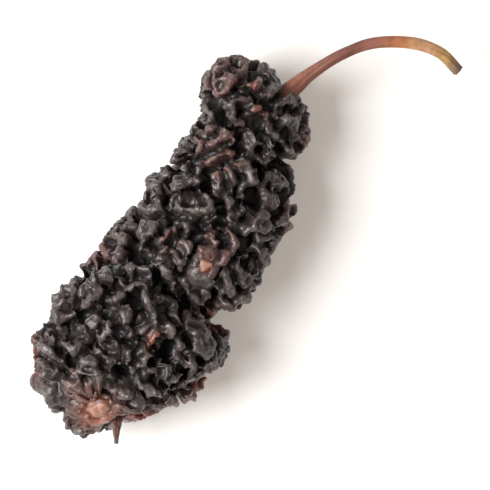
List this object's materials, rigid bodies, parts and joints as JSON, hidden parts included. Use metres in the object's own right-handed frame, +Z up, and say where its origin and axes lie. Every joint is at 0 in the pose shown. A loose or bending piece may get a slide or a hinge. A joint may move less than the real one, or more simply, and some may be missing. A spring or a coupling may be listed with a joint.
{
  "type": "dried mulberry",
  "caption": "Dried black mulberry lying on its side: a wrinkled, three-lobed cluster of shrunken drupelets with its thin curved stalk, bare seeds and a dry style at the tip.",
  "frame": {"origin": "on the surface the berry lies on, in the small flat spot under its middle", "axes": "+X from the free tip to the stalk end, +Z up from the surface, +Y to the left of the stalk's bend"},
  "size_m": [0.0268, 0.0141, 0.0076],
  "materials": {
    "fruit_skin": "satin",
    "stalk": "matte",
    "seed": "satin",
    "style": "matte"
  },
  "bodies": {
    "root": {"fruit": "fruit_skin", "stalk": "stalk", "seed_side": "seed", "seed_tip": "seed", "seed_under": "seed", "style": "style"}
  },
  "joints": []
}
